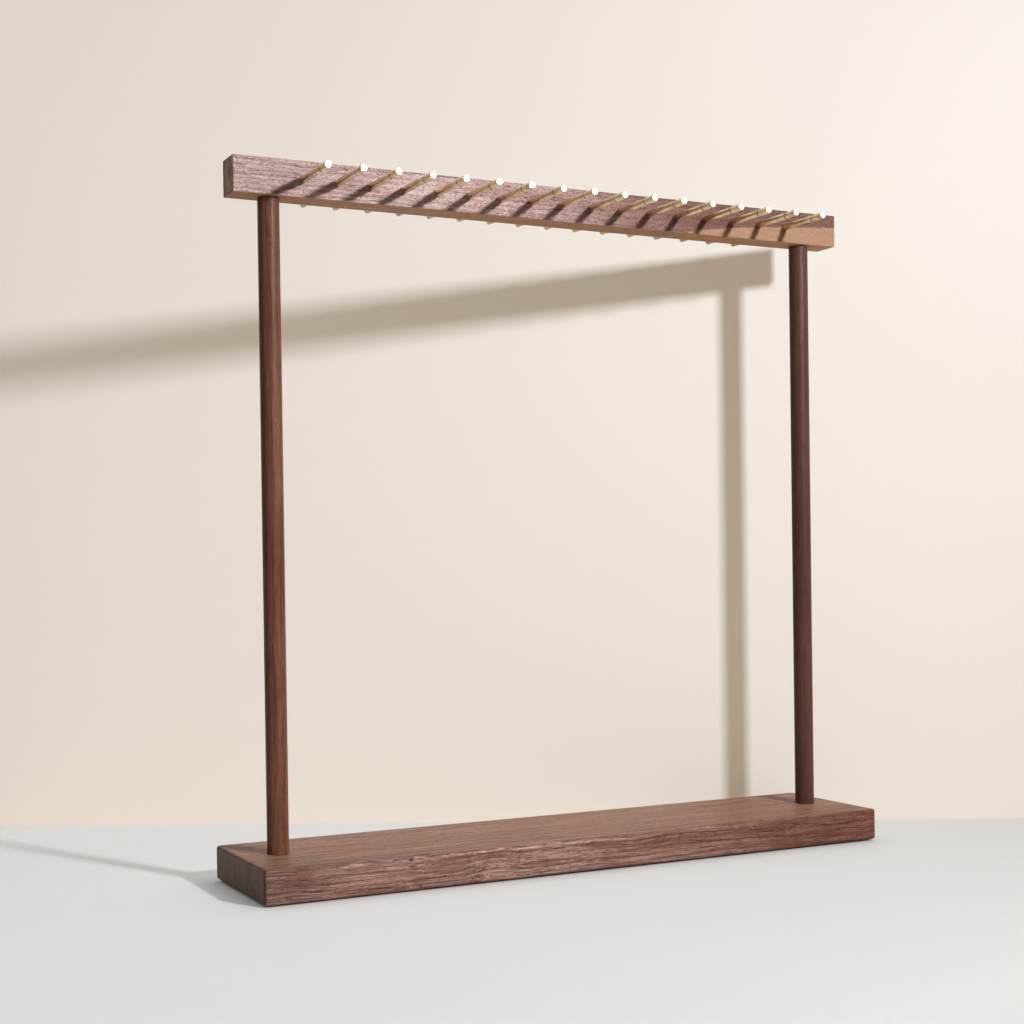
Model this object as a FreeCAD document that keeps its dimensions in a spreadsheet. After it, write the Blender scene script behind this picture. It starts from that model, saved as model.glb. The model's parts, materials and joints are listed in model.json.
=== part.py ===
import FreeCAD, Part
import Sketcher

import os

# A two-sided necklace stand: a walnut base, two round posts and a top bar
# through which a comb of grooved brass rods is pressed, so that the same
# rods make a row of pegs at the front and a row at the back.
# Millimetres, +Z up, +X along the stand. The origin is on the table,
# under the middle of the base.

SIZES = [
    # alias, value, what it is
    ("base_length", 400.0, "base, end to end"),
    ("base_depth", 88.0, "base, front to back"),
    ("base_thickness", 19.0, "board the base is cut from"),
    ("base_edge_round", 1.7, "sanded round on every edge of the base"),
    ("pad_side", 12.0, "square non-slip pad"),
    ("pad_thickness", 1.0, "non-slip pad, which lifts the base"),
    ("pad_end_inset", 16.0, "pad centre to the end of the base"),
    ("pad_side_inset", 14.0, "pad centre to the long side of the base"),
    ("post_diameter", 12.0, "round post"),
    ("post_end_inset", 22.0, "post axis to the end of the base"),
    ("hanging_height", 359.0, "from the top of the base to the underside of the bar"),
    ("post_end_bevel", 0.6, "bevel that leads the post into the base"),
    ("base_socket_depth", 8.0, "blind socket in the base for the foot of a post"),
    ("tenon_diameter", 8.0, "turned tenon at the top of a post"),
    ("tenon_length", 11.0, "turned tenon above the shoulder"),
    ("tenon_end_bevel", 0.8, "bevel at the top of the tenon"),
    ("glue_room", 0.6, "free depth left above a tenon"),
    ("wood_fit", 0.05, "clearance all round a wooden joint"),
    ("bar_overhang", 22.5, "post axis to the end of the top bar"),
    ("bar_depth", 18.0, "top bar, front to back"),
    ("bar_height", 20.0, "top bar, underside to top"),
    ("bar_edge_bevel", 0.3, "small bevel on every edge of the bar"),
    ("rod_count", 17, "brass rods"),
    ("rod_row_inset", 17.0, "post axis to the nearest rod axis"),
    ("rod_height", 9.5, "rod axis above the underside of the bar"),
    ("rod_diameter", 4.0, "brass rod"),
    ("rod_reach", 39.5, "how far a rod stands out of each face of the bar"),
    ("rod_fit", 0.02, "clearance all round a rod in its bore"),
    ("groove_setback", 10.0, "tip of the rod to the middle of its groove"),
    ("groove_width", 1.4, "V groove, at the rod's surface"),
    ("groove_depth", 0.5, "V groove, below the rod's surface"),
    ("screw_length", 35.0, "screw under each post, head to point"),
    ("screw_diameter", 4.0, "screw shank"),
    ("screw_head_diameter", 8.0, "countersunk head, at its widest"),
    ("screw_head_rim", 0.4, "straight rim of the countersunk head"),
    ("screw_point_length", 5.0, "tapered point"),
    ("screw_point_diameter", 0.8, "blunt end of the point"),
    ("screw_sunk", 0.5, "head below the underside of the base"),
    ("screw_fit", 0.05, "clearance all round a screw in the wood"),
    ("pilot_room", 1.5, "free depth past the point of the screw"),
    ("recess_span", 4.6, "cross recess, end to end of one arm"),
    ("recess_arm", 1.1, "cross recess, width of an arm"),
    ("recess_depth", 1.9, "cross recess, below the head"),
]

# Lengths and heights that follow from the sizes above.
DERIVED = [
    ("post_spacing", "base_length - 2 * post_end_inset"),
    ("bar_length", "post_spacing + 2 * bar_overhang"),
    ("rod_row_length", "post_spacing - 2 * rod_row_inset"),
    ("base_bottom", "pad_thickness"),
    ("base_top", "pad_thickness + base_thickness"),
    ("socket_floor", "base_top - base_socket_depth"),
    ("bar_bottom", "base_top + hanging_height"),
    ("rod_level", "bar_bottom + rod_height"),
    ("rod_length", "bar_depth + 2 * rod_reach"),
    ("rod_pitch", "rod_row_length / (rod_count - 1)"),
    ("screw_head_height", "base_bottom + screw_sunk"),
    ("screw_cone", "(screw_head_diameter - screw_diameter) / 2"),
    ("screw_tip_level", "screw_head_height + screw_length"),
    ("pilot_depth", "screw_tip_level - socket_floor + pilot_room"),
]

doc = FreeCAD.newDocument("NecklaceStand")


def fill_sheet():
    sheet = doc.addObject("Spreadsheet::Sheet", "sizes")
    row = 1
    for alias, value, note in SIZES:
        sheet.set("A%d" % row, alias)
        sheet.set("B%d" % row, str(value))
        sheet.set("C%d" % row, note)
        sheet.setAlias("B%d" % row, alias)
        row += 1
    for alias, formula in DERIVED:
        sheet.set("A%d" % row, alias)
        sheet.set("B%d" % row, "=" + formula)
        sheet.setAlias("B%d" % row, alias)
        row += 1
    doc.recompute()
    return sheet


sheet = fill_sheet()


def from_sheet(formula):
    """Write a formula of sheet aliases as an expression of the document."""
    words = formula.replace("(", " ( ").replace(")", " ) ").split()
    aliases = {alias for alias, value, note in SIZES}
    aliases.update(alias for alias, rule in DERIVED)
    return " ".join("sizes." + word if word in aliases else word for word in words)


def bind(thing, prop, formula):
    thing.setExpression(prop, from_sheet(formula))


def new_body(label):
    body = doc.addObject("PartDesign::Body", label)
    body.Label = label
    return body


def origin_plane(body, role):
    for feature in body.Origin.OriginFeatures:
        if feature.Role == role:
            return feature
    raise ValueError("no plane " + role)


def new_sketch(body, name, role, height=None):
    """Make a sketch on one of the body's own origin planes, raised by height."""
    sketch = body.newObject("Sketcher::SketchObject", name)
    sketch.AttachmentSupport = [(origin_plane(body, role), "")]
    sketch.MapMode = "FlatFace"
    if height:
        bind(sketch, "AttachmentOffset.Base.z", height)
    return sketch


def constrain(sketch, name, formula, *args):
    """Add a named dimension and tie it to the sheet."""
    index = sketch.addConstraint(Sketcher.Constraint(*args))
    sketch.renameConstraint(index, name)
    bind(sketch, "Constraints." + name, formula)


def draw_outline(sketch, points):
    """Draw a closed outline of straight lines. Its points are a first guess: dimensions place them."""
    corners = [FreeCAD.Vector(x, y, 0) for x, y in points]
    count = len(corners)
    for index in range(count):
        sketch.addGeometry(Part.LineSegment(corners[index], corners[(index + 1) % count]), False)
    for index in range(count):
        sketch.addConstraint(Sketcher.Constraint("Coincident", index, 2, (index + 1) % count, 1))


def draw_rectangle(sketch, wide, tall):
    """Draw a rectangle centred on the sketch's origin."""
    draw_outline(sketch, [(-5, -5), (5, -5), (5, 5), (-5, 5)])
    for index in range(4):
        direction = "Vertical" if index % 2 else "Horizontal"
        sketch.addConstraint(Sketcher.Constraint(direction, index))
    sketch.addConstraint(Sketcher.Constraint("Symmetric", 0, 1, 1, 2, -1, 1))
    constrain(sketch, "wide", wide, "DistanceX", 0, 1, 0, 2, 10.0)
    constrain(sketch, "tall", tall, "DistanceY", 1, 1, 1, 2, 10.0)


def draw_circle(sketch, name, diameter, away=None, up=None):
    """Draw a circle. away and up place its centre from the sketch's origin."""
    centre = FreeCAD.Vector(3 if away else 0, 3 if up else 0, 0)
    circle = sketch.addGeometry(Part.Circle(centre, FreeCAD.Vector(0, 0, 1), 1.0), False)
    constrain(sketch, name + "_diameter", diameter, "Diameter", circle, 2.0)
    if not away and not up:
        sketch.addConstraint(Sketcher.Constraint("Coincident", circle, 3, -1, 1))
        return
    if away:
        constrain(sketch, name + "_away", away, "DistanceX", -1, 1, circle, 3, 3.0)
    else:
        sketch.addConstraint(Sketcher.Constraint("PointOnObject", circle, 3, -2))
    if up:
        constrain(sketch, name + "_up", up, "DistanceY", -1, 1, circle, 3, 3.0)
    else:
        sketch.addConstraint(Sketcher.Constraint("PointOnObject", circle, 3, -1))


def pad(body, name, sketch, length, centred=False):
    feature = body.newObject("PartDesign::Pad", name)
    feature.Profile = sketch
    bind(feature, "Length", length)
    feature.SideType = "Symmetric" if centred else "One side"
    sketch.Visibility = False
    doc.recompute()
    return feature


def pocket(body, name, sketch, depth, upwards=False):
    """Cut a sketch into the body. A pocket runs down unless upwards is set."""
    feature = body.newObject("PartDesign::Pocket", name)
    feature.Profile = sketch
    bind(feature, "Length", depth)
    feature.Reversed = upwards
    sketch.Visibility = False
    doc.recompute()
    return feature


def through_pocket(body, name, sketch):
    feature = body.newObject("PartDesign::Pocket", name)
    feature.Profile = sketch
    feature.Type = "ThroughAll"
    feature.SideType = "Symmetric"
    sketch.Visibility = False
    doc.recompute()
    return feature


def edge_names(feature, wanted):
    edges = feature.Shape.Edges
    return ["Edge%d" % (i + 1) for i in range(len(edges)) if wanted(edges[i])]


def all_edges(feature):
    return edge_names(feature, lambda edge: True)


def circles_at(feature, height):
    """Pick the circular edges that lie at one height above the body's origin."""
    def wanted(edge):
        return isinstance(edge.Curve, Part.Circle) and abs(edge.CenterOfMass.z - height) < 0.01
    return edge_names(feature, wanted)


def round_edges(body, name, feature, edges, radius):
    fillet = body.newObject("PartDesign::Fillet", name)
    fillet.Base = (feature, edges)
    bind(fillet, "Radius", radius)
    doc.recompute()
    return fillet


def bevel_edges(body, name, feature, edges, size):
    chamfer = body.newObject("PartDesign::Chamfer", name)
    chamfer.Base = (feature, edges)
    bind(chamfer, "Size", size)
    doc.recompute()
    return chamfer


def mirror(body, name, features, role):
    """Repeat features on the other side of one of the body's origin planes."""
    feature = body.newObject("PartDesign::Mirrored", name)
    feature.Originals = features
    feature.MirrorPlane = (origin_plane(body, role), [""])
    body.Tip = feature
    doc.recompute()
    return feature


def expect_less(body, before):
    """Stop if the last cut took nothing away."""
    if body.Shape.Volume > before - 1e-3:
        raise RuntimeError(body.Label + ": a cut missed the wood")
    return body.Shape.Volume


def make_base():
    """Walnut board with two blind post sockets, each with a screw hole below."""
    body = new_body("base")
    outline = new_sketch(body, "base_outline", "XY_Plane")
    draw_rectangle(outline, "base_length", "base_depth")
    board = pad(body, "base_board", outline, "base_thickness")
    rounded = round_edges(body, "base_rounds", board, all_edges(board), "base_edge_round")
    volume = rounded.Shape.Volume

    mouth = new_sketch(body, "socket_outline", "XY_Plane", "base_thickness")
    draw_circle(mouth, "socket", "post_diameter + 2 * wood_fit", away="post_spacing / 2")
    socket = pocket(body, "post_socket", mouth, "base_socket_depth")
    volume = expect_less(body, volume)

    point = new_sketch(body, "screw_hole_centre", "XY_Plane")
    draw_circle(point, "screw_hole", "screw_diameter + 2 * screw_fit", away="post_spacing / 2")
    drilled = pocket(body, "screw_hole", point, "base_thickness", upwards=True)
    volume = expect_less(body, volume)

    seat = make_countersink(body)
    volume = expect_less(body, volume)

    mirror(body, "other_post", [socket, drilled, seat], "YZ_Plane")
    expect_less(body, volume)
    bind(body, "Placement.Base.z", "base_bottom")
    return body


def make_countersink(body):
    """Groove the cone that the screw's head sinks into, below the screw hole."""
    profile = new_sketch(body, "countersink_profile", "XZ_Plane")
    half_head = "screw_head_diameter / 2 + screw_fit"
    straight = "screw_sunk + screw_head_rim"
    points = [(0, -1), (5, -1), (5, 1), (3, 3), (0, 3)]
    draw_outline(profile, points)
    profile.addConstraint(Sketcher.Constraint("Vertical", 1))
    profile.addConstraint(Sketcher.Constraint("Horizontal", 0))
    profile.addConstraint(Sketcher.Constraint("Horizontal", 3))
    profile.addConstraint(Sketcher.Constraint("Vertical", 4))
    constrain(profile, "axis_away", "post_spacing / 2", "DistanceX", -1, 1, 0, 1, 0.1)
    constrain(profile, "start", "screw_sunk", "DistanceY", 0, 1, -1, 1, 1.0)
    constrain(profile, "half_head", half_head, "DistanceX", 0, 1, 0, 2, 5.0)
    constrain(profile, "straight", straight, "DistanceY", -1, 1, 1, 2, 1.0)
    constrain(profile, "cone", "screw_cone", "DistanceY", 2, 1, 2, 2, 2.0)
    constrain(profile, "half_shank", "screw_diameter / 2 + screw_fit", "DistanceX", 3, 2, 3, 1, 3.0)
    seat = body.newObject("PartDesign::Groove", "screw_seat")
    seat.Profile = profile
    seat.ReferenceAxis = (profile, ["Edge5"])
    seat.Angle = 360.0
    profile.Visibility = False
    doc.recompute()
    return seat


def make_pad(label, side_x, side_y):
    """Square non-slip pad stuck flat under one corner of the base."""
    body = new_body(label)
    outline = new_sketch(body, label + "_outline", "XY_Plane")
    draw_rectangle(outline, "pad_side", "pad_side")
    pad(body, label + "_sheet", outline, "pad_thickness")
    bind(body, "Placement.Base.x", "%d * (base_length / 2 - pad_end_inset)" % side_x)
    bind(body, "Placement.Base.y", "%d * (base_depth / 2 - pad_side_inset)" % side_y)
    return body


def make_post(label, side_x):
    """Round post: beveled foot with a pilot hole, and a shouldered tenon on top."""
    body = new_body(label)
    section = new_sketch(body, label + "_section", "XY_Plane")
    draw_circle(section, "dowel", "post_diameter")
    dowel = pad(body, label + "_dowel", section, "base_socket_depth + hanging_height")
    bevel_edges(body, label + "_foot", dowel, circles_at(dowel, 0), "post_end_bevel")

    neck = new_sketch(body, label + "_neck", "XY_Plane", "base_socket_depth + hanging_height")
    draw_circle(neck, "tenon", "tenon_diameter")
    tenon = pad(body, label + "_tenon", neck, "tenon_length")
    top = sheet.base_socket_depth + sheet.hanging_height + sheet.tenon_length
    bevel_edges(body, label + "_tenon_end", tenon, circles_at(tenon, top), "tenon_end_bevel")

    volume = body.Shape.Volume
    mouth = new_sketch(body, label + "_pilot_mouth", "XY_Plane")
    draw_circle(mouth, "pilot", "screw_diameter + 2 * screw_fit")
    pocket(body, label + "_pilot", mouth, "pilot_depth", upwards=True)
    expect_less(body, volume)

    bind(body, "Placement.Base.x", "%d * post_spacing / 2" % side_x)
    bind(body, "Placement.Base.z", "socket_floor")
    return body


def make_bar():
    """Top bar: a line of through bores for the rods and two blind tenon sockets."""
    body = new_body("top_bar")
    outline = new_sketch(body, "bar_outline", "XY_Plane")
    draw_rectangle(outline, "bar_length", "bar_depth")
    stick = pad(body, "bar_stick", outline, "bar_height")
    eased = bevel_edges(body, "bar_bevels", stick, all_edges(stick), "bar_edge_bevel")
    volume = eased.Shape.Volume

    mouth = new_sketch(body, "tenon_socket_outline", "XY_Plane")
    draw_circle(mouth, "socket", "tenon_diameter + 2 * wood_fit", away="post_spacing / 2")
    socket = pocket(body, "tenon_socket", mouth, "tenon_length + glue_room", upwards=True)
    volume = expect_less(body, volume)
    mirror(body, "other_socket", [socket], "YZ_Plane")
    volume = expect_less(body, volume)

    bore_centre = new_sketch(body, "first_bore_centre", "XZ_Plane")
    draw_circle(bore_centre, "bore", "rod_diameter + 2 * rod_fit", "-1 * rod_row_length / 2", "rod_height")
    bore = through_pocket(body, "first_bore", bore_centre)
    volume = expect_less(body, volume)

    row = body.newObject("PartDesign::LinearPattern", "bore_row")
    row.Originals = [bore]
    row.Direction = (bore_centre, ["H_Axis"])
    bind(row, "Length", "rod_row_length")
    row.Occurrences = int(sheet.rod_count)
    body.Tip = row
    doc.recompute()
    expect_less(body, volume)
    bind(body, "Placement.Base.z", "bar_bottom")
    return body


def make_rod(number):
    """Brass rod: a plain bar with a V groove turned round it near each tip."""
    label = "peg_rod_%02d" % number
    body = new_body(label)
    section = new_sketch(body, label + "_section", "XZ_Plane")
    draw_circle(section, "rod", "rod_diameter")
    stock = pad(body, label + "_stock", section, "rod_length", centred=True)
    volume = stock.Shape.Volume

    tool = new_sketch(body, label + "_tool", "XY_Plane")
    draw_outline(tool, [(1, 40), (3, 39), (3, 41)])
    tool.addConstraint(Sketcher.Constraint("Vertical", 1))
    constrain(tool, "floor", "rod_diameter / 2 - groove_depth", "DistanceX", -1, 1, 0, 1, 1.0)
    constrain(tool, "place", "rod_length / 2 - groove_setback", "DistanceY", -1, 1, 0, 1, 40.0)
    constrain(tool, "flare", "2 * groove_depth", "DistanceX", 0, 1, 1, 1, 2.0)
    constrain(tool, "lower_flank", "groove_width", "DistanceY", 1, 1, 0, 1, 1.0)
    constrain(tool, "upper_flank", "groove_width", "DistanceY", 0, 1, 1, 2, 1.0)
    ring = body.newObject("PartDesign::Groove", label + "_groove")
    ring.Profile = tool
    ring.ReferenceAxis = (tool, ["V_Axis"])
    ring.Angle = 360.0
    tool.Visibility = False
    doc.recompute()
    volume = expect_less(body, volume)
    mirror(body, label + "_grooves", [ring], "XZ_Plane")
    expect_less(body, volume)

    bind(body, "Placement.Base.x", "%d * rod_pitch - rod_row_length / 2" % (number - 1))
    bind(body, "Placement.Base.z", "rod_level")
    return body


def make_screw(label, side_x):
    """Countersunk wood screw that draws the post down into the base."""
    body = new_body(label)
    profile = new_sketch(body, label + "_profile", "XZ_Plane")
    points = [(0, 0), (4, 0), (4, 1), (2, 3), (2, 30), (0.5, 35), (0, 35)]
    draw_outline(profile, points)
    profile.addConstraint(Sketcher.Constraint("Coincident", 0, 1, -1, 1))
    profile.addConstraint(Sketcher.Constraint("Horizontal", 0))
    profile.addConstraint(Sketcher.Constraint("Vertical", 1))
    profile.addConstraint(Sketcher.Constraint("Vertical", 3))
    profile.addConstraint(Sketcher.Constraint("Horizontal", 5))
    profile.addConstraint(Sketcher.Constraint("Vertical", 6))
    constrain(profile, "head", "screw_head_diameter / 2", "DistanceX", 0, 1, 0, 2, 4.0)
    constrain(profile, "rim", "screw_head_rim", "DistanceY", 1, 1, 1, 2, 1.0)
    constrain(profile, "cone", "screw_cone", "DistanceY", 2, 1, 2, 2, 2.0)
    constrain(profile, "shank", "screw_diameter / 2", "DistanceX", -1, 1, 2, 2, 2.0)
    constrain(profile, "point", "screw_point_length", "DistanceY", 4, 1, 4, 2, 5.0)
    constrain(profile, "blunt", "screw_point_diameter / 2", "DistanceX", 5, 2, 5, 1, 0.5)
    constrain(profile, "long", "screw_length", "DistanceY", -1, 1, 5, 2, 35.0)
    turned = body.newObject("PartDesign::Revolution", label + "_turned")
    turned.Profile = profile
    turned.ReferenceAxis = (profile, ["V_Axis"])
    turned.Angle = 360.0
    profile.Visibility = False
    doc.recompute()
    volume = body.Shape.Volume
    recess_arms = [("along", "recess_span", "recess_arm"), ("across", "recess_arm", "recess_span")]
    for arm, wide, tall in recess_arms:
        slot = new_sketch(body, label + "_" + arm, "XY_Plane")
        draw_rectangle(slot, wide, tall)
        pocket(body, label + "_recess_" + arm, slot, "recess_depth", upwards=True)
        volume = expect_less(body, volume)
    bind(body, "Placement.Base.x", "%d * post_spacing / 2" % side_x)
    bind(body, "Placement.Base.z", "screw_head_height")
    return body


LEFT, RIGHT = -1, 1
FRONT, BACK = -1, 1

stand = [make_base()]
for side_name, side in (("left", LEFT), ("right", RIGHT)):
    stand.append(make_post(side_name + "_post", side))
    stand.append(make_screw(side_name + "_post_screw", side))
    stand.append(make_pad(side_name + "_front_pad", side, FRONT))
    stand.append(make_pad(side_name + "_back_pad", side, BACK))
stand.append(make_bar())
for rod_number in range(1, int(sheet.rod_count) + 1):
    stand.append(make_rod(rod_number))

doc.recompute()

for item in doc.Objects:
    if "Invalid" in item.State or "Error" in item.State:
        raise RuntimeError("failed: %s %s" % (item.Label, item.State))

for piece in stand:
    if piece.Shape.isNull() or not piece.Shape.isValid():
        raise RuntimeError("bad shape: " + piece.Label)
    if len(piece.Shape.Solids) != 1:
        raise RuntimeError("not one solid: " + piece.Label)

os.makedirs("parts", exist_ok=True)
for piece in stand:
    piece.Shape.exportStep(os.path.join("parts", piece.Label + ".step"))
    print("%-18s %10.1f mm3" % (piece.Label, piece.Shape.Volume))
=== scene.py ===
import json
import math

import bpy
from mathutils import Matrix, Vector


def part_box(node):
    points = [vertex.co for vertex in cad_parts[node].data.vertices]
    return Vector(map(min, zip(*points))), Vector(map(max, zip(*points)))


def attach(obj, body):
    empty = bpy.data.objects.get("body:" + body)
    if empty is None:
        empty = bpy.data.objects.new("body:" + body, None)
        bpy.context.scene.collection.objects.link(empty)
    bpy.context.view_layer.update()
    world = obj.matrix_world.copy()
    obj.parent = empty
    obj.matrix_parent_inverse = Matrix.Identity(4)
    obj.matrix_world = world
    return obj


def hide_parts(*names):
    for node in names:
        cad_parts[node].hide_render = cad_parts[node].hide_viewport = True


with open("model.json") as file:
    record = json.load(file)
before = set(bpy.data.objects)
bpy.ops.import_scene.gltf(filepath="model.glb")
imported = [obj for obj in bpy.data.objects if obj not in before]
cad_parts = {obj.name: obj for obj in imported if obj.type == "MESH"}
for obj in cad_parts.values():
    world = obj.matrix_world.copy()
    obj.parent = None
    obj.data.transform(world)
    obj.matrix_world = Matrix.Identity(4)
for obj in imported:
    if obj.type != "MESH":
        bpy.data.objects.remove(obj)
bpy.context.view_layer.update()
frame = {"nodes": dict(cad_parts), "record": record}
nodes = frame["nodes"]


# metres everywhere; colours are written as 0-255 screen values
millimetre = 0.001
quarterTurn = math.radians(90)
black = (0.0, 0.0, 0.0, 1.0)
white = (1.0, 1.0, 1.0, 1.0)
noiseMiddle = 0.5


def paint(red, green, blue):
    def linear(value):
        value = value / 255
        return value / 12.92 if value <= 0.04045 else ((value + 0.055) / 1.055) ** 2.4
    return (linear(red), linear(green), linear(blue), 1.0)


def addNode(tree, kind, inputs=None, **settings):
    made = tree.nodes.new(kind)
    for name, value in settings.items():
        setattr(made, name, value)
    for socket, source in (inputs or {}).items():
        if isinstance(source, bpy.types.NodeSocket):
            tree.links.new(source, made.inputs[socket])
        else:
            made.inputs[socket].default_value = source
    return made


def calc(tree, operation, first, second=0.0, third=0.0):
    sums = addNode(tree, "ShaderNodeMath", {0: first, 1: second, 2: third}, operation=operation)
    return sums.outputs[0]


def part(tree, value, share):
    return calc(tree, "MULTIPLY", value, share)


def varied(tree, value, middle, swing):
    # noise carries the number half a swing to either side of its middle
    return calc(tree, "MULTIPLY_ADD", value, swing, middle - swing / 2)


def vectorCalc(tree, operation, first, second=None):
    # three of the operations give a number, the others a vector
    inputs = {0: first} if second is None else {0: first, 1: second}
    made = addNode(tree, "ShaderNodeVectorMath", inputs, operation=operation)
    return made.outputs["Value" if operation in ("LENGTH", "DISTANCE", "DOT_PRODUCT") else "Vector"]


def split(tree, vector):
    return addNode(tree, "ShaderNodeSeparateXYZ", {0: vector}).outputs


def fade(tree, value, low, high, curve="SMOOTHSTEP"):
    # 0 at low and 1 at high
    made = addNode(tree, "ShaderNodeMapRange", {"Value": value, "From Min": low, "From Max": high},
                   interpolation_type=curve)
    return made.outputs["Result"]


def mixColour(tree, share, under, over, kind="MIX"):
    made = addNode(tree, "ShaderNodeMix", {0: share, 6: under, 7: over}, data_type="RGBA", blend_type=kind)
    return made.outputs[2]


def ramp(tree, value, colours):
    made = addNode(tree, "ShaderNodeValToRGB", {0: value})
    stops = made.color_ramp.elements
    while len(stops) < len(colours):
        stops.new(1.0)
    for index, colour in enumerate(colours):
        stops[index].position = index / (len(colours) - 1)
        stops[index].color = colour
    return made.outputs[0]


def noise(tree, place, along, across, detail=2.0, roughness=0.5, shift=0.0, output="Fac"):
    # noise whose blobs are along metres long and across metres wide; the grain runs along X
    stretched = addNode(tree, "ShaderNodeMapping", {
        "Vector": place, "Location": (shift, shift, shift),
        "Scale": (1 / along, 1 / across, 1 / across)})
    made = addNode(tree, "ShaderNodeTexNoise", {
        "Vector": stretched.outputs[0], "Scale": 1.0, "Detail": detail, "Roughness": roughness})
    return made.outputs[output]


def newMaterial(name):
    material = bpy.data.materials.new(name)
    material.use_nodes = True
    tree = material.node_tree
    return material, tree, tree.nodes["Principled BSDF"]


def setSockets(shader, values):
    for socket, value in values.items():
        shader.inputs[socket].default_value = value


def roughen(tree, shader, height, strength, depth):
    bump = addNode(tree, "ShaderNodeBump", {"Height": height, "Strength": strength, "Distance": depth})
    tree.links.new(bump.outputs[0], shader.inputs["Normal"])


# "tones" run from a walnut's dark streaks to its light ones; "turn" lays a piece's grain along X;
# "deepEnd" and "dimEnd" say where along X a tint starts, where it is full, and its share there
baseWood = {
    "turn": (0.0, 0.0, 0.0), "shift": (0.31, 0.02, 0.0), "pith": (0.035, -0.062), "ringWidth": 0.0042,
    "tones": (paint(65, 44, 40), paint(134, 102, 93), paint(190, 160, 146)),
    "tint": paint(112, 62, 48), "tintShare": 0.50,
    "deepEnd": (0.0, 0.15, 0.66), "deepTint": paint(78, 32, 14), "dimEnd": (-0.158, -0.176, 0.17),
    # the top face's tones are partly painted light from above
    "litTopFace": {"tones": (paint(132, 94, 70), paint(220, 164, 131)), "share": 0.50,
                "frontShade": 0.24, "frontFrom": 0.010, "frontTo": -0.036},
    "endTones": (paint(88, 71, 60), paint(114, 86, 69)),
    "section": {"middle": (0.0, 0.0, 0.0105), "half": (0.044, 0.0095)},
    "pore": paint(40, 23, 20), "poreShare": 0.88,
    "roughness": 0.46, "specular": 0.14, "bump": 0.5,
    "fineness": 1.3, "fibreLength": 0.080, "fineLength": 0.040,
    "curl": 0.010, "ripple": 0.0004, "dash": 0.10, "lines": 0.24,
    "swell": {"at": -0.068, "reach": 0.020, "lift": 0.0022},
    # a painted highlight along the front arris
    "arrisHighlight": {"height": 0.0182, "thick": 0.0010, "drift": 0.0036, "from": -0.174, "fadeIn": 0.03,
              "to": 0.030, "fadeOut": 0.05, "front": (-0.0434, -0.0438),
              "colour": paint(206, 177, 167), "share": 0.90},
    "pinKnot": {"at": (-0.1176, -0.044, 0.0176), "size": (0.0014, 0.004, 0.0008), "core": 0.5},
    "sapwood": None}
barWood = {
    "turn": (0.0, 0.0, 0.0), "shift": (1.7, 0.3, 0.4), "pith": (0.012, 0.055), "ringWidth": 0.0048,
    "tones": (paint(114, 85, 84), paint(191, 163, 157), paint(229, 206, 199)),
    "tint": paint(128, 86, 88), "tintShare": 0.27,
    "deepEnd": (-0.10, 0.12, 0.83), "deepTint": paint(91, 49, 27), "dimEnd": None,
    "litTopFace": None,
    "endTones": (paint(176, 141, 121), paint(237, 197, 170)),
    "section": {"middle": (0.0, 0.0, 0.389), "half": (0.009, 0.010)},
    "pore": paint(68, 42, 45), "poreShare": 0.92,
    "roughness": 0.55, "specular": 0.10, "bump": 0.6,
    "fineness": 1.65, "fibreLength": 0.018, "fineLength": None,
    "curl": 0.016, "ripple": 0.0036, "dash": 0.52, "lines": 0.05,
    "swell": None, "arrisHighlight": None, "pinKnot": None,
    # the underside colour is partly painted bounce light
    "sapwood": {"from": 0.088, "to": 0.2005, "bow": 0.6, "rise": 0.0120, "under": 0.3792,
                "edge": 0.0003, "wobble": 0.002, "share": 0.88, "colour": paint(156, 121, 93),
                "below": paint(182, 130, 84), "streaks": (0.44, 0.64), "streakShare": 0.30,
                "poreLoss": 0.8}}
postWood = {
    "turn": (0.0, quarterTurn, 0.0), "shift": (4.1, 0.7, 0.9), "pith": (0.02, 0.03), "ringWidth": 0.004,
    "tones": (paint(79, 48, 38), paint(110, 71, 56), paint(127, 84, 67)),
    "tint": paint(92, 44, 30), "tintShare": 0.6,
    "deepEnd": (-0.10, 0.10, 0.665), "deepTint": paint(56, 40, 35), "dimEnd": None,
    "litTopFace": None,
    "endTones": (paint(52, 32, 26), paint(78, 54, 42)), "section": None,
    "pore": paint(34, 18, 13), "poreShare": 0.4,
    "roughness": 0.40, "specular": 0.13, "bump": 0.8,
    "fineness": 1.0, "fibreLength": None, "fineLength": None,
    "curl": 0.006, "ripple": 0.0004, "dash": 0.0, "lines": 0.06,
    "swell": None, "arrisHighlight": None, "pinKnot": None, "sapwood": None}

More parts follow.
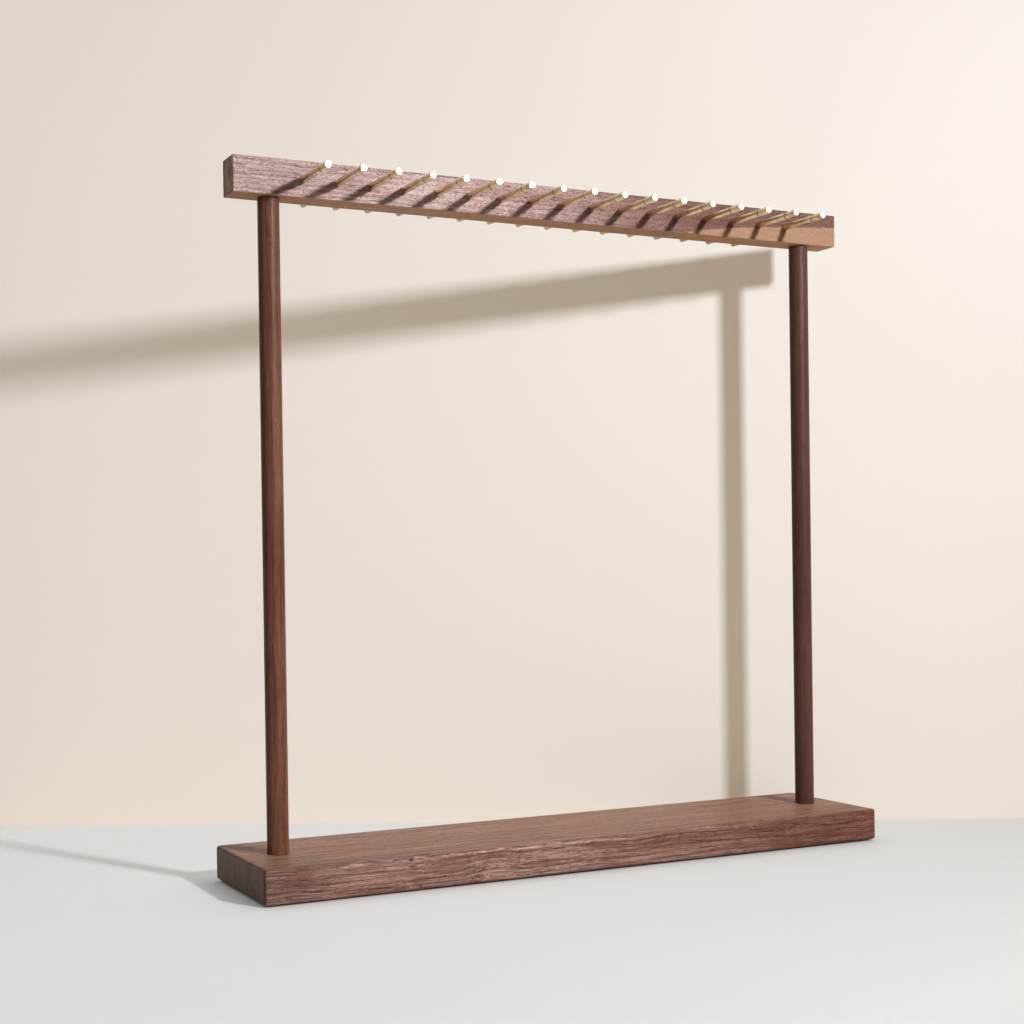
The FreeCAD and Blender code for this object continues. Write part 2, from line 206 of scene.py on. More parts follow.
# layers of figure that all the walnut shares: length along the grain, unless a piece gives its own,
# width across it, detail, roughness and shift. "shows" are the levels a layer is cut between, and
# "flatFace" and "cutFace" say how squarely a face has to point before it counts as one
layers = {
    "waves": {"sizes": (0.110, 0.045, 2.0, 0.5, 0.0)},
    "ripples": {"sizes": (0.009, 0.006, 2.0, 0.5, 0.0)},
    "bands": {"sizes": (0.160, 0.0034, 4.0, 0.62, 2.9)},
    "fibres": {"sizes": (0.050, 0.00082, 4.0, 0.62, 0.0)},
    "fineFibres": {"sizes": (0.018, 0.00042, 3.0, 0.65, 7.3)},
    "clouds": {"sizes": (0.090, 0.030, 3.0, 0.55, 5.1), "shows": (0.40, 0.68)},
    "pores": {"sizes": (0.0046, 0.00036, 1.0, 0.5, 11.7), "shows": (0.60, 0.70)},
    "dashes": {"sizes": (0.0028, 0.00046, 2.0, 0.6, 17.1), "shows": (0.51, 0.60)},
    "darkLines": {"sizes": (0.070, 0.00075, 2.0, 0.55, 23.9), "shows": (0.54, 0.62)},
    "lightLines": {"sizes": (0.045, 0.00070, 2.0, 0.55, 31.3), "shows": (0.55, 0.66)},
    "longStreaks": {"sizes": (0.240, 0.0030, 4.0, 0.6, 61.7), "shows": (0.36, 0.64)},
    "arrisHighlightDrift": {"sizes": (0.014, 0.02, 2.0, 0.6, 41.5)},
    "arrisHighlightPatches": {"sizes": (0.008, 0.0010, 3.0, 0.6, 43.7), "shows": (0.38, 0.66)},
    "endMottle": {"sizes": (0.012, 0.014, 3.0, 0.6, 67.1), "shows": (0.36, 0.64)},
    "endSpecks": {"sizes": (0.0009, 0.0007, 2.0, 0.6, 71.3), "shows": (0.54, 0.66)},
    "uneven": {"sizes": (0.018, 0.0040, 2.0, 0.6, 53.9)}}
walnutFigure = {
    "ringStretch": 0.02, "ringEdge": 3.0,
    "toneShares": {"bands": 0.28, "fibres": 0.27, "fineFibres": 0.45, "lateWood": 0.07},
    "toneLevels": (0.37, 0.60), "tintDepth": 0.5, "lightLineShare": 0.6,
    "flatFace": (0.5, 0.95), "cutFace": (0.55, 0.95),
    "endRings": 0.25, "endSpecks": 0.5, "rim": (0.86, 1.0), "rimShare": 0.6,
    "sheenSwing": 0.16, "poreDullness": 0.15,
    "fibreRelief": 0.6, "poreRelief": 0.8, "unevenRelief": 1.2, "reliefDepth": 0.0002}


def figure(tree, place, name, length=None, output="Fac"):
    layer = layers[name]
    sharedLength, *others = layer["sizes"]
    made = noise(tree, place, length or sharedLength, *others, output)
    return fade(tree, made, *layer["shows"]) if "shows" in layer else made


def bendGrain(tree, turned, place, look):
    # long lazy waves and short curls bend the grain
    grain = turned
    for name, reach in (("waves", look["curl"]), ("ripples", look["ripple"])):
        wander = figure(tree, turned, name, output="Color")
        centred = vectorCalc(tree, "SUBTRACT", wander, (noiseMiddle,) * 3)
        grain = vectorCalc(tree, "ADD", grain, vectorCalc(tree, "MULTIPLY", centred, (0.0, reach, reach)))
    if look["swell"]:
        # the grain bows up over a buried branch
        swell = look["swell"]
        away = calc(tree, "ABSOLUTE", calc(tree, "SUBTRACT", place["X"], swell["at"]))
        lift = part(tree, fade(tree, away, swell["reach"], 0.0), -swell["lift"])
        lifted = addNode(tree, "ShaderNodeCombineXYZ", {"Y": lift, "Z": lift}).outputs[0]
        grain = vectorCalc(tree, "ADD", grain, lifted)
    return grain


def growRings(tree, grain, look):
    # the rings run round a pith that lies outside the board, and each has a dark late edge
    fromPith = addNode(tree, "ShaderNodeMapping", {
        "Vector": grain, "Scale": (walnutFigure["ringStretch"], 1, 1), "Location": (0, *look["pith"])})
    distance = vectorCalc(tree, "LENGTH", fromPith.outputs[0])
    rings = calc(tree, "FRACT", calc(tree, "DIVIDE", distance, look["ringWidth"]))
    return calc(tree, "POWER", rings, walnutFigure["ringEdge"])


def paintTopFaceLight(tree, colour, coords, place, grain, look):
    # the top face is painted lighter and tanner than the edges as painted light from above, with its own
    # grain streaks, and darker towards its front
    face = look["litTopFace"]
    upwards = split(tree, coords["Normal"])["Z"]
    share = part(tree, fade(tree, upwards, *walnutFigure["flatFace"]), face["share"])
    towardsFront = fade(tree, place["Y"], face["frontFrom"], face["frontTo"])
    streaks = calc(tree, "SUBTRACT", figure(tree, grain, "longStreaks"),
                   part(tree, towardsFront, face["frontShade"]))
    return mixColour(tree, share, colour, mixColour(tree, streaks, *face["tones"]))


def layLines(tree, colour, grain, look):
    dark = part(tree, figure(tree, grain, "darkLines"), look["lines"])
    colour = mixColour(tree, dark, colour, look["tones"][0])
    light = part(tree, figure(tree, grain, "lightLines"), look["lines"] * walnutFigure["lightLineShare"])
    colour = mixColour(tree, light, colour, look["tones"][2])
    if look["dash"]:
        dashes = part(tree, figure(tree, grain, "dashes"), look["dash"])
        colour = mixColour(tree, dashes, colour, look["pore"])
    return colour


def laySapwood(tree, colour, coords, place, bands, fibres, look):
    # its border runs along the underside, then climbs the sides towards the right end
    sap = look["sapwood"]
    wobble = part(tree, calc(tree, "SUBTRACT", bands, noiseMiddle), sap["wobble"])
    climb = fade(tree, place["X"], sap["from"], sap["to"], "LINEAR")
    raised = part(tree, calc(tree, "POWER", climb, sap["bow"]), sap["rise"])
    above = calc(tree, "SUBTRACT", calc(tree, "ADD", place["Z"], wobble), raised)
    inside = fade(tree, above, sap["under"] + sap["edge"], sap["under"] - sap["edge"])
    share = part(tree, inside, sap["share"])
    # the sawn underside is painted tanner, partly its own sapwood tone and partly painted warm bounce light
    upwards = split(tree, coords["Normal"])["Z"]
    downFace = fade(tree, upwards, *(-level for level in walnutFigure["flatFace"]))
    pale = mixColour(tree, downFace, sap["colour"], sap["below"])
    streaks = part(tree, fade(tree, fibres, *sap["streaks"]), sap["streakShare"])
    streaked = mixColour(tree, streaks, pale, look["tones"][1])
    return mixColour(tree, share, colour, streaked), share


def paintArrisHighlight(tree, colour, place, turned, arrisHighlight):
    # a pale curly streak runs along the front arris as a painted highlight
    drift = calc(tree, "SUBTRACT", figure(tree, turned, "arrisHighlightDrift"), noiseMiddle)
    drift = part(tree, drift, arrisHighlight["drift"])
    height = calc(tree, "ADD", calc(tree, "SUBTRACT", place["Z"], arrisHighlight["height"]), drift)
    streak = fade(tree, calc(tree, "ABSOLUTE", height), arrisHighlight["thick"], 0.0)
    rising = fade(tree, place["X"], arrisHighlight["from"], arrisHighlight["from"] + arrisHighlight["fadeIn"])
    falling = fade(tree, place["X"], arrisHighlight["to"], arrisHighlight["to"] - arrisHighlight["fadeOut"])
    onFront = part(tree, fade(tree, place["Y"], *arrisHighlight["front"]), arrisHighlight["share"])
    patchy = calc(tree, "MULTIPLY", streak, figure(tree, turned, "arrisHighlightPatches"))
    share = calc(tree, "MULTIPLY", calc(tree, "MULTIPLY", patchy, onFront),
                 calc(tree, "MULTIPLY", rising, falling))
    return mixColour(tree, share, colour, arrisHighlight["colour"])


def layPinKnot(tree, colour, coords, look):
    knot = look["pinKnot"]
    offset = vectorCalc(tree, "SUBTRACT", coords["Object"], knot["at"])
    reach = vectorCalc(tree, "LENGTH", vectorCalc(tree, "DIVIDE", offset, knot["size"]))
    return mixColour(tree, fade(tree, reach, 1.0, knot["core"]), colour, look["pore"])


def layEndGrain(tree, colour, coords, turned, lateWood, look):
    # end grain is darker, and shows the rings as arcs
    facing = addNode(tree, "ShaderNodeMapping", {
        "Vector": coords["Normal"], "Rotation": look["turn"]}, vector_type="POINT").outputs[0]
    squareCut = fade(tree, calc(tree, "ABSOLUTE", split(tree, facing)["X"]), *walnutFigure["cutFace"])
    endColour = mixColour(tree, figure(tree, turned, "endMottle"), *look["endTones"])
    endColour = mixColour(tree, part(tree, lateWood, walnutFigure["endRings"]), endColour, look["pore"])
    specks = part(tree, figure(tree, turned, "endSpecks"), walnutFigure["endSpecks"])
    endColour = mixColour(tree, specks, endColour, look["pore"])
    if look["section"]:
        # the end face is darker towards its rim
        halfDepth, halfHeight = look["section"]["half"]
        fromMiddle = split(tree, vectorCalc(tree, "SUBTRACT", coords["Object"], look["section"]["middle"]))
        toSide = calc(tree, "DIVIDE", calc(tree, "ABSOLUTE", fromMiddle["Y"]), halfDepth)
        toFlat = calc(tree, "DIVIDE", calc(tree, "ABSOLUTE", fromMiddle["Z"]), halfHeight)
        rim = fade(tree, calc(tree, "MAXIMUM", toSide, toFlat), *walnutFigure["rim"])
        endColour = mixColour(tree, part(tree, rim, walnutFigure["rimShare"]), endColour, look["pore"])
    return mixColour(tree, squareCut, colour, endColour)


def makeWalnut(name, look):
    material, tree, shader = newMaterial(name)
    coords = addNode(tree, "ShaderNodeTexCoord").outputs
    place = split(tree, coords["Object"])
    turned = addNode(tree, "ShaderNodeMapping", {
        "Vector": coords["Object"], "Rotation": look["turn"], "Location": look["shift"],
        "Scale": (look["fineness"],) * 3}).outputs[0]
    grain = bendGrain(tree, turned, place, look)
    lateWood = growRings(tree, grain, look)
    bands = figure(tree, grain, "bands")
    fibres = figure(tree, grain, "fibres", look["fibreLength"])
    fineFibres = figure(tree, grain, "fineFibres", look["fineLength"])
    pores = figure(tree, grain, "pores")

    shares = walnutFigure["toneShares"]
    tone = calc(tree, "ADD", part(tree, bands, shares["bands"]), part(tree, fibres, shares["fibres"]))
    tone = calc(tree, "ADD", tone, part(tree, fineFibres, shares["fineFibres"]))
    tone = calc(tree, "SUBTRACT", tone, part(tree, lateWood, shares["lateWood"]))
    colour = ramp(tree, fade(tree, tone, *walnutFigure["toneLevels"], "LINEAR"), look["tones"])
    tinted = mixColour(tree, 1.0, colour, look["tint"], "SOFT_LIGHT")
    tinted = mixColour(tree, walnutFigure["tintDepth"], look["tint"], tinted)
    colour = mixColour(tree, part(tree, figure(tree, turned, "clouds"), look["tintShare"]), colour, tinted)

    # the wood is redder towards the right, and the board is darker at its left end
    for ending, endTint in ((look["deepEnd"], look["deepTint"]), (look["dimEnd"], look["tones"][0])):
        if ending:
            start, end, share = ending
            reached = part(tree, fade(tree, place["X"], start, end), share)
            colour = mixColour(tree, reached, colour, endTint)
    if look["litTopFace"]:
        colour = paintTopFaceLight(tree, colour, coords, place, grain, look)
    colour = layLines(tree, colour, grain, look)
    if look["sapwood"]:
        colour, sapShare = laySapwood(tree, colour, coords, place, bands, fibres, look)
        kept = calc(tree, "SUBTRACT", 1.0, part(tree, sapShare, look["sapwood"]["poreLoss"]))
        pores = calc(tree, "MULTIPLY", pores, kept)
    colour = mixColour(tree, part(tree, pores, look["poreShare"]), colour, look["pore"])
    if look["arrisHighlight"]:
        colour = paintArrisHighlight(tree, colour, place, turned, look["arrisHighlight"])
    if look["pinKnot"]:
        colour = layPinKnot(tree, colour, coords, look)
    colour = layEndGrain(tree, colour, coords, turned, lateWood, look)
    tree.links.new(colour, shader.inputs["Base Color"])

    sheen = varied(tree, fibres, look["roughness"], walnutFigure["sheenSwing"])
    sheen = calc(tree, "ADD", sheen, part(tree, pores, walnutFigure["poreDullness"]))
    tree.links.new(sheen, shader.inputs["Roughness"])
    relief = calc(tree, "SUBTRACT", part(tree, fineFibres, walnutFigure["fibreRelief"]),
                  part(tree, pores, walnutFigure["poreRelief"]))
    uneven = part(tree, figure(tree, turned, "uneven"), walnutFigure["unevenRelief"])
    roughen(tree, shader, calc(tree, "ADD", relief, uneven), look["bump"], walnutFigure["reliefDepth"])
    setSockets(shader, {"Specular IOR Level": look["specular"]})
    return material


rodNames = sorted(name for name in nodes if name.startswith("peg_rod_"))
firstLow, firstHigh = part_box(rodNames[0])
lastLow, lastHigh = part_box(rodNames[-1])

pegRods = {
    "count": len(rodNames),
    "length": firstHigh[1] - firstLow[1],
    "diameter": firstHigh[2] - firstLow[2],
    "firstAxis": Vector([(low + high) / 2 for low, high in zip(firstLow, firstHigh)]),
    "pitch": (lastLow[0] - firstLow[0]) / (len(rodNames) - 1),
    "grooveSetback": 10.0 * millimetre,
    "grooveWidth": 1.4 * millimetre,
    "grooveDepth": 0.5 * millimetre,
    "tipBevel": 0.34 * millimetre,
    "sides": 40,
    "creaseAngle": math.radians(24)}
# a noise is given by its length, width, detail, roughness and shift, as the layers are
brassLook = {
    "bright": paint(226, 207, 172), "dull": paint(188, 167, 128),
    "drawnLines": (0.030, 0.00022, 3.0, 0.6), "tarnish": (0.012, 0.006, 3.0, 0.6, 3.3),
    "tarnishLevels": (0.35, 0.70),
    "cutTip": paint(234, 226, 210), "tipFace": (0.9, 0.97),
    # the groove colour is painted shade in the recess
    "groove": paint(84, 66, 42), "grooveReach": 0.8 * millimetre, "grooveCore": 0.4, "grooveShare": 0.8,
    "roughness": 0.25, "tarnishSwing": 0.12, "drawnRoughness": 0.08,
    "bump": 0.12, "bumpDepth": 0.02 * millimetre, "metallic": 0.92}
zincLook = {
    "bright": paint(190, 191, 188), "dull": paint(150, 151, 150), "spangles": 1400.0,
    "roughness": 0.38, "wear": (0.002, 0.0006, 3.0, 0.6), "wearSwing": 0.2, "metallic": 1.0}
rubberLook = {
    "light": paint(52, 51, 50), "dark": paint(34, 33, 32), "specks": (0.0006, 0.0006, 3.0, 0.7),
    "roughness": 0.8, "bump": 0.5, "bumpDepth": 0.08 * millimetre}


def makeBrass(name, look):
    material, tree, shader = newMaterial(name)
    coords = addNode(tree, "ShaderNodeTexCoord").outputs
    place = coords["Object"]
    alongRod = addNode(tree, "ShaderNodeMapping", {
        "Vector": place, "Rotation": (0, 0, quarterTurn)}).outputs[0]
    drawn = noise(tree, alongRod, *look["drawnLines"])
    tarnish = noise(tree, place, *look["tarnish"])
    colour = mixColour(tree, fade(tree, tarnish, *look["tarnishLevels"]), look["bright"], look["dull"])
    # the faced-off tips are brighter, and the grooves are painted darker as painted shade
    facedOff = fade(tree, calc(tree, "ABSOLUTE", split(tree, coords["Normal"])["Y"]), *look["tipFace"])
    colour = mixColour(tree, facedOff, colour, look["cutTip"])
    grooveAt = pegRods["length"] / 2 - pegRods["grooveSetback"]
    fromGroove = calc(tree, "SUBTRACT", calc(tree, "ABSOLUTE", split(tree, place)["Y"]), grooveAt)
    inGroove = fade(tree, calc(tree, "ABSOLUTE", fromGroove), look["grooveReach"],
                    look["grooveReach"] * look["grooveCore"])
    colour = mixColour(tree, part(tree, inGroove, look["grooveShare"]), colour, look["groove"])
    tree.links.new(colour, shader.inputs["Base Color"])
    dulled = varied(tree, tarnish, look["roughness"], look["tarnishSwing"])
    dulled = calc(tree, "MULTIPLY_ADD", drawn, look["drawnRoughness"], dulled)
    tree.links.new(dulled, shader.inputs["Roughness"])
    roughen(tree, shader, drawn, look["bump"], look["bumpDepth"])
    setSockets(shader, {"Metallic": look["metallic"]})
    return material


def makeZinc(name, look):
    material, tree, shader = newMaterial(name)
    place = addNode(tree, "ShaderNodeTexCoord").outputs["Object"]
    spangle = addNode(tree, "ShaderNodeTexVoronoi", {"Vector": place, "Scale": look["spangles"]})
    colour = mixColour(tree, spangle.outputs["Color"], look["bright"], look["dull"])
    tree.links.new(colour, shader.inputs["Base Color"])
    wear = noise(tree, place, *look["wear"])
    tree.links.new(varied(tree, wear, look["roughness"], look["wearSwing"]), shader.inputs["Roughness"])
    setSockets(shader, {"Metallic": look["metallic"]})
    return material


def makeRubber(name, look):
    material, tree, shader = newMaterial(name)
    place = addNode(tree, "ShaderNodeTexCoord").outputs["Object"]
    specks = noise(tree, place, *look["specks"])
    tree.links.new(mixColour(tree, specks, look["dark"], look["light"]), shader.inputs["Base Color"])
    roughen(tree, shader, specks, look["bump"], look["bumpDepth"])
    setSockets(shader, {"Roughness": look["roughness"]})
    return material


finishes = {
    "walnut_base": makeWalnut("oiledWalnutBoard", baseWood),
    "walnut_bar": makeWalnut("oiledWalnutBar", barWood),
    "walnut_post": makeWalnut("stainedWalnutDowel", postWood),
    "brass": makeBrass("drawnBrass", brassLook),
    "screw_steel": makeZinc("zincPlate", zincLook),
    "pad_rubber": makeRubber("nonSlipRubber", rubberLook)}
print("finishes made:", len(finishes))


def dressNodes():
    for subpart in frame["record"]["subparts"]:
        shown = nodes[subpart["node"]]
        shown.data.materials.clear()
        shown.data.materials.append(finishes[subpart["material_slot"]])


def newGeometryTree(name, inputs):
    tree = bpy.data.node_groups.new(name, "GeometryNodeTree")
    tree.interface.new_socket(name="Geometry", in_out="OUTPUT", socket_type="NodeSocketGeometry")
    for label, kind in inputs:
        tree.interface.new_socket(name=label, in_out="INPUT", socket_type="NodeSocket" + kind)
    return tree, addNode(tree, "NodeGroupInput"), addNode(tree, "NodeGroupOutput")


# steps along a groove's flank and how deep each ends, as shares; they run into a small round
grooveFlank = [(0.14, 0.10), (0.62, 0.86), (0.24, 1.0)]
bevelSteps = 4
tipRing = 0.94
weldReach = 1e-6


def rodTree():
    tree, given, result = newGeometryTree("turnedPegRods", [
        ("Rod count", "Int"), ("Rod pitch", "Float"), ("Rod length", "Float"), ("Rod diameter", "Float"),
        ("Groove setback", "Float"), ("Groove width", "Float"), ("Groove depth", "Float"),
        ("Tip bevel", "Float"), ("Sides", "Int"), ("First axis", "Vector"), ("Finish", "Material")])
    out = given.outputs
    radius = calc(tree, "MULTIPLY", out["Rod diameter"], 0.5)
    halfWidth = calc(tree, "MULTIPLY", out["Groove width"], 0.5)
    toGroove = calc(tree, "SUBTRACT", calc(tree, "MULTIPLY", out["Rod length"], 0.5), out["Groove setback"])
    plainStretch = calc(tree, "SUBTRACT", toGroove, halfWidth)
    pastGroove = calc(tree, "SUBTRACT", out["Groove setback"], halfWidth)
    toBevel = calc(tree, "SUBTRACT", pastGroove, out["Tip bevel"])

    disc = addNode(tree, "GeometryNodeMeshCircle", {
        "Vertices": out["Sides"], "Radius": radius}, fill_type="NGON")
    work = {"solid": disc.outputs[0], "tip": True, "radius": radius}

    def turnTo(step, nextRadius):
        # pull the tip face on by a step and bring it to its next radius
        pulled = addNode(tree, "GeometryNodeExtrudeMesh", {
            "Mesh": work["solid"], "Selection": work["tip"], "Offset Scale": step}, mode="FACES")
        ratio = calc(tree, "DIVIDE", nextRadius, work["radius"])
        sized = addNode(tree, "GeometryNodeScaleElements", {
            "Geometry": pulled.outputs["Mesh"], "Selection": pulled.outputs["Top"],
            "Scale": ratio}, domain="FACE")
        work.update(solid=sized.outputs[0], tip=pulled.outputs["Top"], radius=nextRadius)

    def turnGroove(width, depth):
        floor = calc(tree, "SUBTRACT", radius, calc(tree, "MULTIPLY", out["Groove depth"], depth))
        turnTo(calc(tree, "MULTIPLY", halfWidth, width), floor)

    turnTo(plainStretch, radius)
    for width, depth in grooveFlank:
        turnGroove(width, depth)
    # the way out mirrors the way in
    widths = [width for width, depth in grooveFlank]
    depths = [0.0] + [depth for width, depth in grooveFlank[:-1]]
    for width, depth in zip(reversed(widths), reversed(depths)):
        turnGroove(width, depth)
    turnTo(toBevel, radius)
    # the tip is broken by a rounded bevel of a few faces
    for index in range(1, bevelSteps + 1):
        swing = quarterTurn * index / bevelSteps
        before = quarterTurn * (index - 1) / bevelSteps
        step = calc(tree, "MULTIPLY", out["Tip bevel"], math.sin(swing) - math.sin(before))
        inwards = calc(tree, "MULTIPLY", out["Tip bevel"], 1 - math.cos(swing))
        turnTo(step, calc(tree, "SUBTRACT", radius, inwards))
    # a last ring in the tip's own plane keeps its shading flat
    turnTo(0.0, calc(tree, "MULTIPLY", work["radius"], tipRing))

    otherEnd = addNode(tree, "GeometryNodeTransform", {
        "Geometry": work["solid"], "Rotation": (2 * quarterTurn, 0.0, 0.0)})
    rod = addNode(tree, "GeometryNodeJoinGeometry")
    tree.links.new(work["solid"], rod.inputs[0])
    tree.links.new(otherEnd.outputs[0], rod.inputs[0])
    welded = addNode(tree, "GeometryNodeMergeByDistance", {"Geometry": rod.outputs[0], "Distance": weldReach})
    lying = addNode(tree, "GeometryNodeTransform", {
        "Geometry": welded.outputs[0], "Rotation": (quarterTurn, 0.0, 0.0)})

    offset = addNode(tree, "ShaderNodeCombineXYZ", {"X": out["Rod pitch"]})
    line = addNode(tree, "GeometryNodeMeshLine", {
        "Count": out["Rod count"], "Start Location": out["First axis"],
        "Offset": offset.outputs[0]}, mode="OFFSET")
    row = addNode(tree, "GeometryNodeInstanceOnPoints", {
        "Points": line.outputs[0], "Instance": lying.outputs[0]})
    real = addNode(tree, "GeometryNodeRealizeInstances", {"Geometry": row.outputs[0]})
    coated = addNode(tree, "GeometryNodeSetMaterial", {
        "Geometry": real.outputs[0], "Material": out["Finish"]})
    tree.links.new(coated.outputs[0], result.inputs[0])
    return tree


def grow(name, tree, values, creaseAngle):
    # run a geometry tree once and keep its result as a plain mesh
    seed = bpy.data.objects.new(name + "Seed", bpy.data.meshes.new(name + "Seed"))
    bpy.context.scene.collection.objects.link(seed)
    modifier = seed.modifiers.new("grow", "NODES")
    modifier.node_group = tree
    for item in tree.interface.items_tree:
        if item.in_out == "INPUT":
            modifier[item.identifier] = values[item.name]
    graph = bpy.context.evaluated_depsgraph_get()
    mesh = bpy.data.meshes.new_from_object(seed.evaluated_get(graph))
    seed.modifiers.clear()
    bpy.data.objects.remove(seed)
    mesh.name = name
    mesh.shade_smooth()
    mesh.set_sharp_from_angle(angle=creaseAngle)
    piece = bpy.data.objects.new(name, mesh)
    bpy.context.scene.collection.objects.link(piece)
    return piece


def makePegRods():
    values = {
        "Rod count": pegRods["count"], "Rod pitch": pegRods["pitch"], "Rod length": pegRods["length"],
        "Rod diameter": pegRods["diameter"], "Groove setback": pegRods["grooveSetback"],
        "Groove width": pegRods["grooveWidth"], "Groove depth": pegRods["grooveDepth"],
        "Tip bevel": pegRods["tipBevel"], "Sides": pegRods["sides"], "First axis": pegRods["firstAxis"],
        "Finish": finishes["brass"]}
    rods = grow("pegRods", rodTree(), values, pegRods["creaseAngle"])
    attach(rods, "root")
    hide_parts(*rodNames)
    return rods


dressNodes()
print("CAD nodes dressed:", len(nodes))
rods = makePegRods()
print("peg rods turned:", pegRods["count"], "with", len(rods.data.polygons), "faces")


# the stage is painted a little darker towards the lamps, so it looks even. Pairs of colours run along
# the wall, and those of "bounce" away from the stand; "own" is the share that doesn't wait for light.
# "underLamp" is where a darker patch starts and is full, measured from the lamp's foot, and its share
tableLook = {
    "shades": (paint(255, 255, 254), paint(218, 217, 214)), "ownTints": (white, white), "own": 0.32,
    "plain": paint(227, 226, 224), "plainFrom": (0.38, 0.62),
    "bounce": ((0.861, 0.705, 0.590, 1.0), (0.158, 0.129, 0.108, 1.0)), "dimFrom": (0.30, 0.75),
    "underLamp": ((1.15, 0.62, 0.12), (0.66, 0.42, 0.55)), "contactReach": 0.016}
wallLook = {
    "shades": (paint(252, 251, 249), paint(218, 218, 217)), "own": 0.32,
    "ownTints": ((1.24, 1.07, 0.88, 1.0), (1.187, 0.935, 0.654, 1.0)),
    "plain": paint(232, 224, 213), "plainFrom": (0.45, 0.90),
    "bounce": None, "underLamp": None, "contactReach": None}
stageLook = {
    "gradedOver": (-0.36, 0.36), "blotchSize": 0.5, "blotchShare": 0.04, "roughness": 0.7, "specular": 0.3,
    "wallFoot": Vector((0.034, 0.1455, 0.0)), "wallTurn": math.radians(-28.98),
    "wallWide": 8.0, "wallHigh": 4.0, "tableWide": 12.0}
keyLamp = {
    "place": Vector((0.253, -0.951, 0.605)), "aim": Vector((0.0, 0.0, 0.2)), "size": (0.08, 0.08),
    "power": 13.45, "colour": (0.985, 0.987, 1.0)}
softPanel = {
    "place": Vector((0.87, -1.26, 0.735)), "aim": Vector((0.05, 0.0, 0.39)), "size": (0.70, 0.40),
    "power": 0.9, "colour": (1.0, 0.99, 0.97)}
roomLook = {"colour": (1.0, 0.85, 0.70, 1.0), "strength": 0.080, "seenColour": (0.82, 0.78, 0.72, 1.0)}
# the camera's angles are in degrees
cameraLook = {
    "place": Vector((-0.46546, -0.85834, 0.17732)), "turn": 26.80, "tilt": -0.60, "lean": -0.79,
    "lens": 57.47, "shiftUp": 0.0672}


def seenRays(tree):
    # 1 for what the camera and bright metal look at, 0 for what lights the stand
    rays = addNode(tree, "ShaderNodeLightPath").outputs
    seen = calc(tree, "MAXIMUM", rays["Is Camera Ray"], rays["Is Glossy Ray"])
    return calc(tree, "MAXIMUM", seen, rays["Is Transmission Ray"])


def stageMaterial(name, look):
    material, tree, shader = newMaterial(name)
    place = addNode(tree, "ShaderNodeTexCoord").outputs["Object"]
    turn = stageLook["wallTurn"]
    fromFoot = vectorCalc(tree, "SUBTRACT", place, stageLook["wallFoot"])
    alongWall = vectorCalc(tree, "DOT_PRODUCT", fromFoot, (math.cos(turn), math.sin(turn), 0.0))
    graded = fade(tree, alongWall, *stageLook["gradedOver"], "LINEAR")
    shade = mixColour(tree, graded, *look["shades"])
    blotch = noise(tree, place, stageLook["blotchSize"], stageLook["blotchSize"])
    shade = mixColour(tree, part(tree, blotch, stageLook["blotchShare"]), shade, black)
    inPlan = vectorCalc(tree, "MULTIPLY", place, (1.0, 1.0, 0.0))
    if look["underLamp"]:
        # the key lamp would bleach the table close to it
        fromLamp = vectorCalc(tree, "DISTANCE", inPlan, Vector((*keyLamp["place"].xy, 0.0)))
        slight, strong = (part(tree, fade(tree, fromLamp, start, end), share)
                          for start, end, share in look["underLamp"])
        shade = mixColour(tree, calc(tree, "ADD", slight, strong), shade, black)
    # well away from the stand it fades to one plain colour that the lamps don't change
    outward = vectorCalc(tree, "LENGTH", inPlan)
    far = fade(tree, outward, *look["plainFrom"])
    own = calc(tree, "MAXIMUM", far, look["own"])
    ownShade = mixColour(tree, 1.0, shade, mixColour(tree, graded, *look["ownTints"]), "MULTIPLY")
    ownColour = mixColour(tree, far, ownShade, look["plain"])
    shade = mixColour(tree, far, shade, look["plain"])
    seen = seenRays(tree)
    if look["bounce"]:
        # it sends less light back at the stand than it shows, and a warmer one, the less the further off
        loss = mixColour(tree, fade(tree, outward, *look["dimFrom"]), *look["bounce"])
        dimmed = mixColour(tree, 1.0, shade, loss, "MULTIPLY")
        shade = mixColour(tree, calc(tree, "SUBTRACT", 1.0, seen), shade, dimmed)
    tree.links.new(shade, shader.inputs["Base Color"])
    setSockets(shader, {"Roughness": stageLook["roughness"], "Specular IOR Level": stageLook["specular"]})
    # the camera and bright metal see an evenly pale stage, and nothing on it is lit by that
    pale = addNode(tree, "ShaderNodeEmission", {"Color": ownColour, "Strength": 1.0})
    if look["contactReach"]:
        # the stand still darkens the table where it comes close
        closeness = addNode(tree, "ShaderNodeAmbientOcclusion", {"Distance": look["contactReach"]})
        fromWall = vectorCalc(tree, "DOT_PRODUCT", fromFoot, (math.sin(turn), -math.cos(turn), 0.0))
        nearWall = fade(tree, fromWall, look["contactReach"] * 2, look["contactReach"])
        tree.links.new(calc(tree, "MAXIMUM", closeness.outputs["AO"], nearWall), pale.inputs["Strength"])
    surface = addNode(tree, "ShaderNodeMixShader", {
        0: calc(tree, "MULTIPLY", seen, own), 1: shader.outputs[0], 2: pale.outputs[0]})
    # seen from behind, the panel isn't there
    clear = addNode(tree, "ShaderNodeBsdfTransparent")
    behind = addNode(tree, "ShaderNodeNewGeometry").outputs["Backfacing"]
    surface = addNode(tree, "ShaderNodeMixShader", {0: behind, 1: surface.outputs[0], 2: clear.outputs[0]})
    tree.links.new(surface.outputs[0], tree.nodes["Material Output"].inputs["Surface"])
    return material


def makePanel(name, corners, material):
    mesh = bpy.data.meshes.new(name)
    mesh.from_pydata([tuple(corner) for corner in corners], [], [(0, 1, 2, 3)])
    mesh.materials.append(material)
    panel = bpy.data.objects.new(name, mesh)
    bpy.context.scene.collection.objects.link(panel)
    return panel


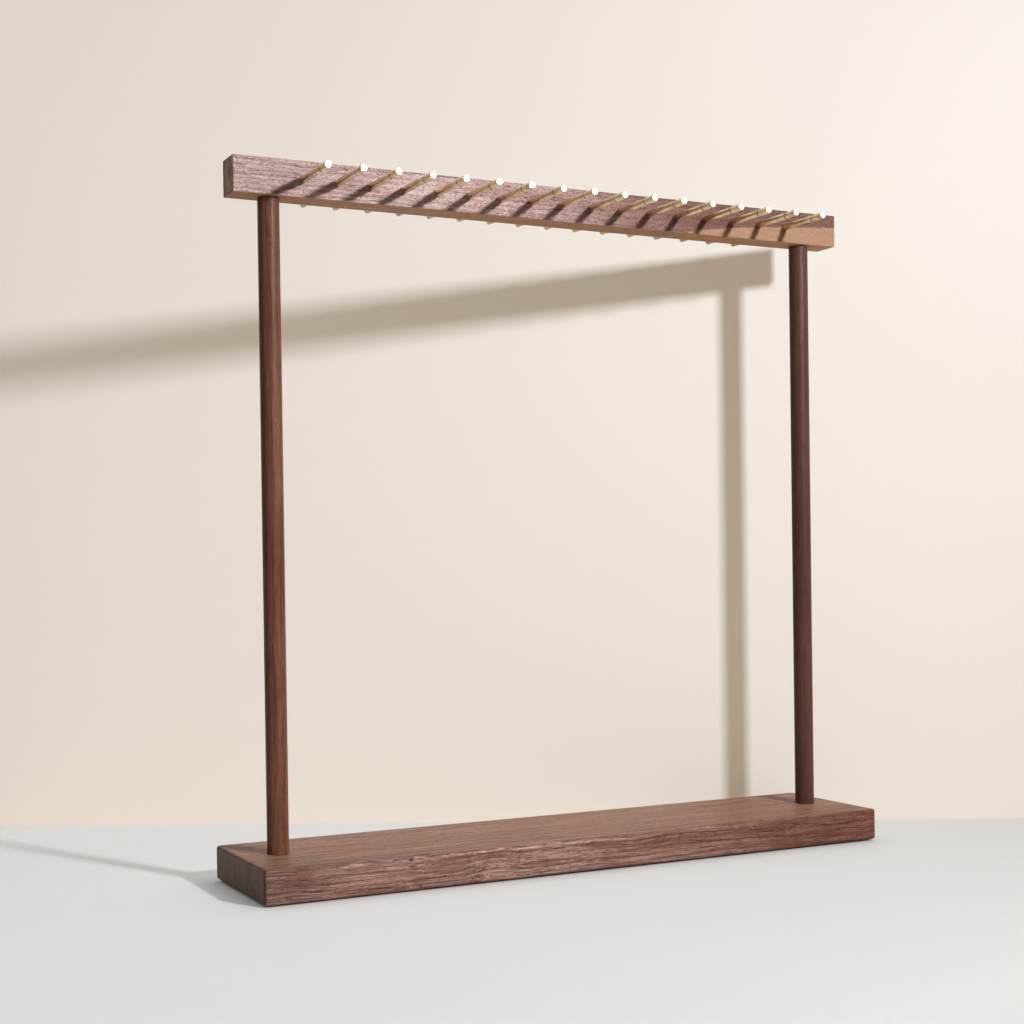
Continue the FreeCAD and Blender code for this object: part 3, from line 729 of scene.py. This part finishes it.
def makeStage():
    half = stageLook["tableWide"] / 2
    makePanel("table", [(-half, -half, 0), (half, -half, 0), (half, half, 0), (-half, half, 0)],
              stageMaterial("paleTable", tableLook))
    turn = stageLook["wallTurn"]
    along = Vector((math.cos(turn), math.sin(turn), 0)) * stageLook["wallWide"] / 2
    foot = stageLook["wallFoot"]
    top = Vector((0, 0, stageLook["wallHigh"]))
    wall = makePanel("wall", [foot - along, foot + along, foot + along + top, foot - along + top],
                     stageMaterial("creamWall", wallLook))
    # it casts no shadow, so the stand is as well lit when looked at from behind
    wall.visible_shadow = False


def hangLamp(name, look):
    lamp = bpy.data.lights.new(name, "AREA")
    lamp.shape = "RECTANGLE"
    lamp.size, lamp.size_y = look["size"]
    lamp.energy = look["power"]
    lamp.color = look["colour"]
    holder = bpy.data.objects.new(name, lamp)
    holder.location = look["place"]
    holder.rotation_euler = (look["aim"] - look["place"]).to_track_quat("-Z", "Y").to_euler()
    bpy.context.scene.collection.objects.link(holder)


def makeRoom():
    # a dim warm room lights the shadows, and looks evenly pale
    room = bpy.data.worlds.new("studio")
    room.use_nodes = True
    tree = room.node_tree
    seen = seenRays(tree)
    colour = mixColour(tree, seen, roomLook["colour"], roomLook["seenColour"])
    strength = addNode(tree, "ShaderNodeMix", {0: seen, 2: roomLook["strength"], 3: 1.0}).outputs[0]
    tree.links.new(colour, tree.nodes["Background"].inputs["Color"])
    tree.links.new(strength, tree.nodes["Background"].inputs["Strength"])
    bpy.context.scene.world = room


def makeCamera():
    lens = bpy.data.cameras.new("standCamera")
    lens.lens = cameraLook["lens"]
    lens.shift_y = cameraLook["shiftUp"]
    camera = bpy.data.objects.new("standCamera", lens)
    turn = Matrix.Rotation(math.radians(-cameraLook["turn"]), 4, "Z")
    tilt = Matrix.Rotation(math.radians(90 + cameraLook["tilt"]), 4, "X")
    lean = Matrix.Rotation(math.radians(cameraLook["lean"]), 4, "Z")
    camera.matrix_world = Matrix.Translation(cameraLook["place"]) @ turn @ tilt @ lean
    bpy.context.scene.collection.objects.link(camera)
    bpy.context.scene.camera = camera


makeStage()
hangLamp("keyLamp", keyLamp)
hangLamp("softPanel", softPanel)
makeRoom()
makeCamera()
bpy.context.scene.view_settings.view_transform = "Standard"
print("stage, lamps and camera set")
